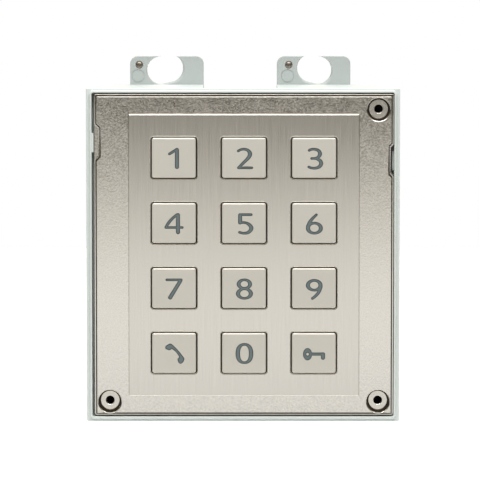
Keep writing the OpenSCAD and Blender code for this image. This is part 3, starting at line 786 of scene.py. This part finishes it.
# The legend's strokes and rings merged: the loops around the filled region, it lying on their left
def legendLoops(key):
    solids = [strokeLoop(points) for points in legendStrokes.get(key, [])]
    pairs = [(ovalLoop(x, y, rx + hx, ry + hy, p), ovalLoop(x, y, rx - hx, ry - hy, p))
             for x, y, rx, ry, hx, hy, p in legendRings.get(key, [])]
    loops = solids + [loop for pair in pairs for loop in pair]
    points, edges = [], []
    for loop in loops:
        start = len(points)
        points += [Vector(p) for p in loop]
        edges += [(start + i, start + (i + 1) % len(loop)) for i in range(len(loop))]
    corners, _, triangles, _, _, _ = delaunay_2d_cdt(points, edges, [], 0, 1e-4)
    filled = set()
    for triangle in triangles:
        x = sum(corners[i].x for i in triangle) / 3
        y = sum(corners[i].y for i in triangle) / 3
        inRing = any(isInside(x, y, outer) and not isInside(x, y, inner) for outer, inner in pairs)
        if inRing or any(isInside(x, y, loop) for loop in solids):
            a, b, c = (corners[i] for i in triangle)
            turn = (b - a).cross(c - a)
            order = triangle if turn > 0 else triangle[::-1]
            filled.update((order[k], order[(k + 1) % 3]) for k in range(3))
    follow = {a: b for a, b in filled if (b, a) not in filled}
    found = []
    while follow:
        first = next(iter(follow))
        loop, here = [first], follow.pop(first)
        while here != first and here in follow:
            loop.append(here)
            here = follow.pop(here)
        if len(loop) > 5:
            found.append([(corners[i].x, corners[i].y) for i in loop])
    return found


# Moves a loop away from the filled region, or into it if grow is less than zero
def growLoop(loop, grow):
    moved = []
    for i, (x, y) in enumerate(loop):
        before, after = Vector(loop[i - 1]), Vector(loop[(i + 1) % len(loop)])
        here = Vector((x, y))
        a, b = (here - before).normalized(), (after - here).normalized()
        outA, outB = Vector((a.y, -a.x)), Vector((b.y, -b.x))
        out = (outA + outB).normalized() if (outA + outB).length > 1e-6 else outA
        reach = grow / max(out.dot(outA), 0.6)
        moved.append((x + out.x * reach, y + out.y * reach))
    return moved


def keyCapMesh(key, loops, front, flangeBack):
    shape = keyShape
    middle = keyMiddle[key]
    flange = rectOutline(shape["flangeWidth"], shape["flangeHeight"], shape["flangeCorner"], middle)
    cap = rectOutline(shape["width"], shape["height"], shape["corner"], middle)
    walls = 2 * shape["wall"]
    hollow = rectOutline(shape["width"] - walls, shape["height"] - walls, shape["hollowCorner"], middle)
    ceiling = front - shape["wall"]
    flangeFront = flangeBack + shape["flangeThick"]
    bm = bmesh.new()
    levels = [(hollow, 0, ceiling), (hollow, 0, flangeBack), (flange, 0, flangeBack),
              (flange, 0, flangeFront), (cap, 0.06, flangeFront), (cap, 0, plateauDepth - 0.3)]
    levels += [(cap, -inset, front - below) for inset, below in roundOver(shape["edge"], 5)]
    rings = [addRing(bm, outline(grow), depth) for outline, grow, depth in levels]
    joinAll(bm, rings[:4])
    joinAll(bm, rings[3:6], 1)               # painted shade: coloured dark where the window shades the flange and the cap's sides
    joinAll(bm, rings[5:])
    faceRings, ceilingRings = [rings[-1]], [rings[0]]
    edge = shape["legendEdge"]
    for loop in loops:
        placed = [(middle[0] + x, middle[1] + y) for x, y in loop]
        cut = [addRing(bm, growLoop(placed, shape["legendGap"] + grow), front - below)
               for grow, below in ((edge, 0), (0, edge))]
        cut.append(addRing(bm, growLoop(placed, shape["legendGap"]), ceiling))
        joinAll(bm, cut)
        faceRings.append(cut[0])
        ceilingRings.append(cut[-1])
    fillFlat(bm, faceRings)
    fillFlat(bm, ceilingRings)
    return meshOf(bm)


def legendMesh(key, loops, front):
    shape = keyShape
    middle = keyMiddle[key]
    span = spanOf("legend_" + key)
    ceiling = front - shape["wall"]
    inner = 2 * (shape["wall"] + shape["insertGap"])
    block = rectOutline(shape["width"] - inner, shape["height"] - inner, shape["hollowCorner"], middle)
    stem = circleOutline(shape["stemRadius"], middle)
    bm = bmesh.new()
    low = ceiling - shape["insertThick"]
    walls = [addRing(bm, block(0), low), addRing(bm, block(0), ceiling - 0.05)]
    joinAll(bm, walls)
    foot = [addRing(bm, stem(0), low), addRing(bm, stem(0), span["back"] + shape["stemEdge"]),
            addRing(bm, stem(-shape["stemEdge"]), span["back"])]
    joinAll(bm, foot)
    bm.faces.new(foot[-1])
    fillFlat(bm, [walls[0], foot[0]])
    blockRings, topRings = [walls[1]], []
    top = front - shape["legendDrop"]
    for loop in loops:
        placed = [(middle[0] + x, middle[1] + y) for x, y in loop]
        glyph = [addRing(bm, placed, ceiling - 0.05), addRing(bm, placed, top - 0.05),
                 addRing(bm, growLoop(placed, -shape["legendRim"]), top)]
        joinAll(bm, glyph, 1)                # painted shade: its sides and its rim are coloured dark for the shade of the recess
        blockRings.append(glyph[0])
        topRings.append(glyph[-1])
    fillFlat(bm, blockRings)
    fillFlat(bm, topRings)
    return meshOf(bm)


for key in keyNames:
    loops = legendLoops(key)
    capSpan = spanOf("key_cap_" + key)
    cap = keyCapMesh(key, loops, capSpan["front"], capSpan["back"])
    makePiece("nickel_key_" + key, cap, ["keyNickel", "paintedShadeNickel"], "key_" + key,
              "key_cap_" + key, 38)
    insert = legendMesh(key, loops, capSpan["front"])
    makePiece("clear_insert_" + key, insert, ["legendClear", "legendShade"], "key_" + key,
              "legend_" + key, 38)
print("keys built:", len(keyNames))


# The inner parts stay as they are and get their finish

nodeFinishes = dict(
    plate_seal="sealRubber", key_guide="guidePlastic", key_mat="silicone", circuit_board="boardGreen",
    contact_pads="gold", leds="ledLens", controller_chip="chipBlack", board_components="componentTin",
    bus_socket_in="socketPlastic", bus_socket_out="socketPlastic", socket_pins="gold",
    board_screws="zincScrew", plate_screws="zincScrew", rear_label="labelPaper")
for node, finishName in nodeFinishes.items():
    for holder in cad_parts[node].material_slots:
        holder.material = finishes[finishName]
print("inner parts finished:", len(nodeFinishes))


# Studio

# A sky stop is (height, brightness, how much of the tint). The sky is dimmer at the sides and brighter
# behind the reader, and the camera itself sees plain white.
studioLooks = dict(
    floorLevel=-0.125, floorWidth=3.0, floorFront=-0.1, floorBack=2.0,
    floorPaint=dict(colour=(0.95, 0.97, 0.99), spread=0.01, grain=3, patch=60, roughness=0.8, bump=0.0),
    skyStops=((-1.0, 0.5, 0.3), (-0.4, 0.65, 0.3), (-0.17, 0.45, 0.2), (-0.115, 1.02, 0), (-0.085, 1.2, 0),
              (-0.06, 1.18, 0.3), (-0.015, 0.05, 1), (0.12, 0.06, 1), (0.35, 0.5, 1), (0.65, 1.2, 0.3),
              (1.0, 1.5, 0)),
    skyTint=(1.0, 0.86, 0.62), skySides=0.6, skySidesBetween=(0.25, 0.7), skyBehind=2.0, skyBehindFrom=0.35,
    softboxPlace=(0.0, -0.75, 0.8), softboxAim=(0, 0, 0), softboxSize=(1.0, 0.6), softboxPower=9.0)
cameraSetup = dict(place=(0.0, -0.86, 0.055), aim=(-0.00093, -0.022, 0.0048), lens=202.2)


def makeSky(look):
    world = bpy.data.worlds.new("studioSky")
    bpy.context.scene.world = world
    world.use_nodes = True
    tree = world.node_tree
    tree.nodes.clear()
    brightest = max(value for _, value, _ in look["skyStops"])
    way = addNode(tree, "ShaderNodeSeparateXYZ",
                  {0: addNode(tree, "ShaderNodeTexCoord").outputs["Generated"]})
    height = addNode(tree, "ShaderNodeMapRange",
                     {"Value": way.outputs["Z"], "From Min": -1.0, "From Max": 1.0})
    aside = addNode(tree, "ShaderNodeMath", {0: way.outputs["X"]}, operation="ABSOLUTE")
    near, far = look["skySidesBetween"]
    strength = addNode(tree, "ShaderNodeMapRange",
                       {"Value": aside.outputs[0], "From Min": near, "From Max": far,
                        "To Min": brightest, "To Max": look["skySides"] * brightest})
    behind = addNode(tree, "ShaderNodeMapRange",
                     {"Value": way.outputs["Y"], "From Min": 0.0, "From Max": look["skyBehindFrom"],
                      "To Max": look["skyBehind"], "To Min": 1.0})
    strength = addNode(tree, "ShaderNodeMath", {0: strength.outputs[0], 1: behind.outputs[0]},
                       operation="MULTIPLY")
    ramp = addNode(tree, "ShaderNodeValToRGB", {0: height.outputs[0]})
    ramp.color_ramp.interpolation = "EASE"
    stops = ramp.color_ramp.elements
    while len(stops) < len(look["skyStops"]):
        stops.new(0.5)
    for stop, (level, value, warmth) in zip(stops, look["skyStops"]):
        stop.position = (level + 1) / 2
        stop.color = [value / brightest * (1 - warmth * (1 - c)) for c in look["skyTint"]] + [1]
    lit = addNode(tree, "ShaderNodeBackground", {"Color": ramp.outputs[0], "Strength": strength.outputs[0]})
    plain = addNode(tree, "ShaderNodeBackground", {"Color": (1, 1, 1, 1), "Strength": 1.0})
    seen = addNode(tree, "ShaderNodeLightPath").outputs["Is Camera Ray"]
    mixed = addNode(tree, "ShaderNodeMixShader", {0: seen, 1: lit.outputs[0], 2: plain.outputs[0]})
    addNode(tree, "ShaderNodeOutputWorld", {0: mixed.outputs[0]})


def makeFloor(look):
    bm = bmesh.new()
    half = look["floorWidth"] / 2
    corners = [(-half, look["floorFront"]), (half, look["floorFront"]), (half, look["floorBack"]),
               (-half, look["floorBack"])]
    bm.faces.new([bm.verts.new((x, y, look["floorLevel"])) for x, y in corners])
    mesh = bpy.data.meshes.new("studioFloor")
    bm.to_mesh(mesh)
    bm.free()
    mesh.materials.append(grainFinish("floorPaint", look["floorPaint"]))
    floor = bpy.data.objects.new("studioFloor", mesh)
    bpy.context.scene.collection.objects.link(floor)


def lookFrom(place, aim):
    return (Vector(aim) - Vector(place)).to_track_quat("-Z", "Y").to_euler()


def makeSoftbox(look):
    lamp = bpy.data.lights.new("overheadSoftbox", "AREA")
    lamp.shape = "RECTANGLE"
    lamp.size, lamp.size_y = look["softboxSize"]
    lamp.energy = look["softboxPower"]
    holder = bpy.data.objects.new("overheadSoftbox", lamp)
    holder.location = look["softboxPlace"]
    holder.rotation_euler = lookFrom(look["softboxPlace"], look["softboxAim"])
    bpy.context.scene.collection.objects.link(holder)


def makeCamera(setup):
    lens = bpy.data.cameras.new("studioCamera")
    lens.lens = setup["lens"]
    lens.clip_start, lens.clip_end = 0.01, 20
    camera = bpy.data.objects.new("studioCamera", lens)
    camera.location = setup["place"]
    camera.rotation_euler = lookFrom(setup["place"], setup["aim"])
    bpy.context.scene.collection.objects.link(camera)
    bpy.context.scene.camera = camera


makeSky(studioLooks)
makeFloor(studioLooks)
makeSoftbox(studioLooks)
makeCamera(cameraSetup)
bpy.context.scene.view_settings.view_transform = "Standard"
print("studio ready")
